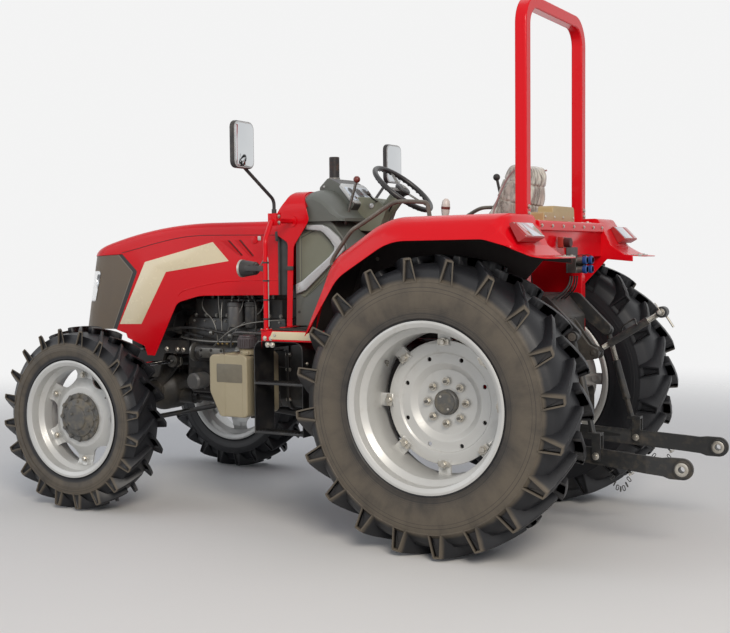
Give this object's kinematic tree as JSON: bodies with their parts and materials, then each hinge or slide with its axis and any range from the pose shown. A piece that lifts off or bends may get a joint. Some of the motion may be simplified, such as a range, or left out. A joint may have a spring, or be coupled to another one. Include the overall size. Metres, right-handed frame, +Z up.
{
  "type": "farm tractor",
  "caption": "Four-wheel-drive farm tractor with an open platform, roll-over hoop, opening hood, steered front axle and a rear three-point linkage.",
  "frame": {"origin": "on the ground below the middle of the tractor's overall length and width", "axes": "+X forwards, +Y to the driver's left, +Z up; the tractor stands on its four tyres on z = 0"},
  "size_m": [3.895, 1.824, 2.668],
  "materials": {
    "tyre": "matte black rubber with dusty lugs",
    "wheel_silver": "satin silver grey paint",
    "hub_grey": "satin dark grey paint",
    "red_paint": "gloss red paint",
    "black_paint": "satin black paint",
    "drive_black": "black paint on castings",
    "steel_rod": "polished rod",
    "console_plastic": "olive grey moulded plastic",
    "tank_plastic": "beige grey moulded plastic",
    "black_plastic": "black plastic",
    "bright_metal": "bright metal",
    "lamp": "coloured lens and black housing",
    "seat_cover": "dark red and black vinyl"
  },
  "bodies": {
    "chassis": {"front_axle": "drive_black", "engine": "drive_black", "front_support": "black_paint", "radiator": "black_paint", "transmission": "drive_black", "rear_axle": "drive_black", "drive_shaft": "drive_black", "platform": "red_paint", "steps": "black_paint", "fuel_tank": "tank_plastic", "cowl": "red_paint", "dash_console": "console_plastic", "steering_column": "black_plastic", "seat_base": "drive_black", "seat": "seat_cover", "fenders": "red_paint", "rear_deck": "red_paint", "rops": "red_paint", "side_frames": "black_paint", "lamps": "lamp", "exhaust": "black_paint", "handles": "bright_metal", "controls": "black_plastic", "hitch_frame": "black_paint", "remote_couplers": "black_plastic"},
    "hood": {"hood": "red_paint", "grille": "black_plastic", "headlamps": "bright_metal"},
    "steering_wheel": {"steering_wheel": "black_plastic"},
    "knuckle_left": {"knuckle_left": "drive_black"},
    "knuckle_right": {"knuckle_right": "drive_black"},
    "tie_rod": {"tie_rod": "drive_black"},
    "cylinder_rod": {"cylinder_rod": "steel_rod"},
    "rockshaft": {"rockshaft": "drive_black"},
    "lift_rod_left": {"lift_rod_left": "drive_black"},
    "lift_rod_right": {"lift_rod_right": "drive_black"},
    "lower_link_left": {"lower_link_left": "drive_black"},
    "lower_link_right": {"lower_link_right": "drive_black"},
    "top_link": {"top_link": "drive_black"},
    "wheel_front_left": {"tyre_front_left": "tyre", "wheel_front_left": "wheel_silver", "hub_front_left": "hub_grey"},
    "wheel_front_right": {"tyre_front_right": "tyre", "wheel_front_right": "wheel_silver", "hub_front_right": "hub_grey"},
    "wheel_rear_left": {"tyre_rear_left": "tyre", "wheel_rear_left": "wheel_silver", "hub_rear_left": "hub_grey"},
    "wheel_rear_right": {"tyre_rear_right": "tyre", "wheel_rear_right": "wheel_silver", "hub_rear_right": "hub_grey"}
  },
  "joints": [
    {"name": "hood_hinge", "type": "hinge", "parent": "chassis", "child": "hood", "pos_m": [0.3575, 0, 1.6], "axis": [0, -1, 0], "range_deg": [0, 50]},
    {"name": "steer_left", "type": "hinge", "parent": "chassis", "child": "knuckle_left", "pos_m": [1.3975, 0.568, 0.6], "axis": [0, 0, 1], "range_deg": [-40, 40]},
    {"name": "steer_right", "type": "hinge", "parent": "chassis", "child": "knuckle_right", "pos_m": [1.3975, -0.568, 0.6], "axis": [0, 0, 1], "range_deg": [-40, 40]},
    {"name": "steering_wheel_spin", "type": "hinge", "parent": "chassis", "child": "steering_wheel", "pos_m": [-0.2675, 0, 1.779], "axis": [-0.6428, 0, 0.766], "range_deg": [-500, 500]},
    {"name": "tie_rod_ball", "type": "hinge", "parent": "knuckle_left", "child": "tie_rod", "pos_m": [1.2275, 0.568, 0.47], "axis": [0, 0, 1], "range_deg": [-45, 45]},
    {"name": "steering_rod_slide", "type": "slide", "parent": "chassis", "child": "cylinder_rod", "axis": [0, 1, 0], "range_m": [-0.115, 0.115]},
    {"name": "front_left_spin", "type": "hinge", "parent": "knuckle_left", "child": "wheel_front_left", "pos_m": [1.3975, 0.758, 0.515], "axis": [0, 1, 0], "continuous": true},
    {"name": "front_right_spin", "type": "hinge", "parent": "knuckle_right", "child": "wheel_front_right", "pos_m": [1.3975, -0.758, 0.515], "axis": [0, 1, 0], "continuous": true},
    {"name": "rear_left_spin", "type": "hinge", "parent": "chassis", "child": "wheel_rear_left", "pos_m": [-0.8425, 0.724, 0.71], "axis": [0, 1, 0], "continuous": true},
    {"name": "rear_right_spin", "type": "hinge", "parent": "chassis", "child": "wheel_rear_right", "pos_m": [-0.8425, -0.724, 0.71], "axis": [0, 1, 0], "continuous": true},
    {"name": "lift", "type": "hinge", "parent": "chassis", "child": "rockshaft", "pos_m": [-1.0825, 0, 1.15], "axis": [0, 1, 0], "range_deg": [-10, 55]},
    {"name": "lift_rod_left_pin", "type": "hinge", "parent": "rockshaft", "child": "lift_rod_left", "pos_m": [-1.3405, 0.266, 1.014], "axis": [0, 1, 0], "range_deg": [-66, 16]},
    {"name": "lower_link_left_pivot", "type": "hinge", "parent": "chassis", "child": "lower_link_left", "pos_m": [-1.0275, 0.275, 0.48], "axis": [0, 1, 0], "range_deg": [-8, 36]},
    {"name": "lift_rod_right_pin", "type": "hinge", "parent": "rockshaft", "child": "lift_rod_right", "pos_m": [-1.3405, -0.266, 1.014], "axis": [0, 1, 0], "range_deg": [-66, 16]},
    {"name": "lower_link_right_pivot", "type": "hinge", "parent": "chassis", "child": "lower_link_right", "pos_m": [-1.0275, -0.275, 0.48], "axis": [0, 1, 0], "range_deg": [-8, 36]},
    {"name": "top_link_pivot", "type": "hinge", "parent": "chassis", "child": "top_link", "pos_m": [-1.3625, 0, 0.919], "axis": [0, 1, 0], "range_deg": [-70, 25]}
  ],
  "couplings": [
    {"joint": "steer_right", "follows": "steer_left", "ratio": 1},
    {"joint": "steering_wheel_spin", "follows": "steer_left", "ratio": 12},
    {"joint": "tie_rod_ball", "follows": "steer_left", "ratio": -1},
    {"joint": "steering_rod_slide", "follows": "steer_left", "m_per_rad": -0.1565},
    {"joint": "lift_rod_left_pin", "follows": "lift", "ratio": -1.129},
    {"joint": "lower_link_left_pivot", "follows": "lift", "ratio": 0.598},
    {"joint": "lift_rod_right_pin", "follows": "lift", "ratio": -1.129},
    {"joint": "lower_link_right_pivot", "follows": "lift", "ratio": 0.598}
  ]
}
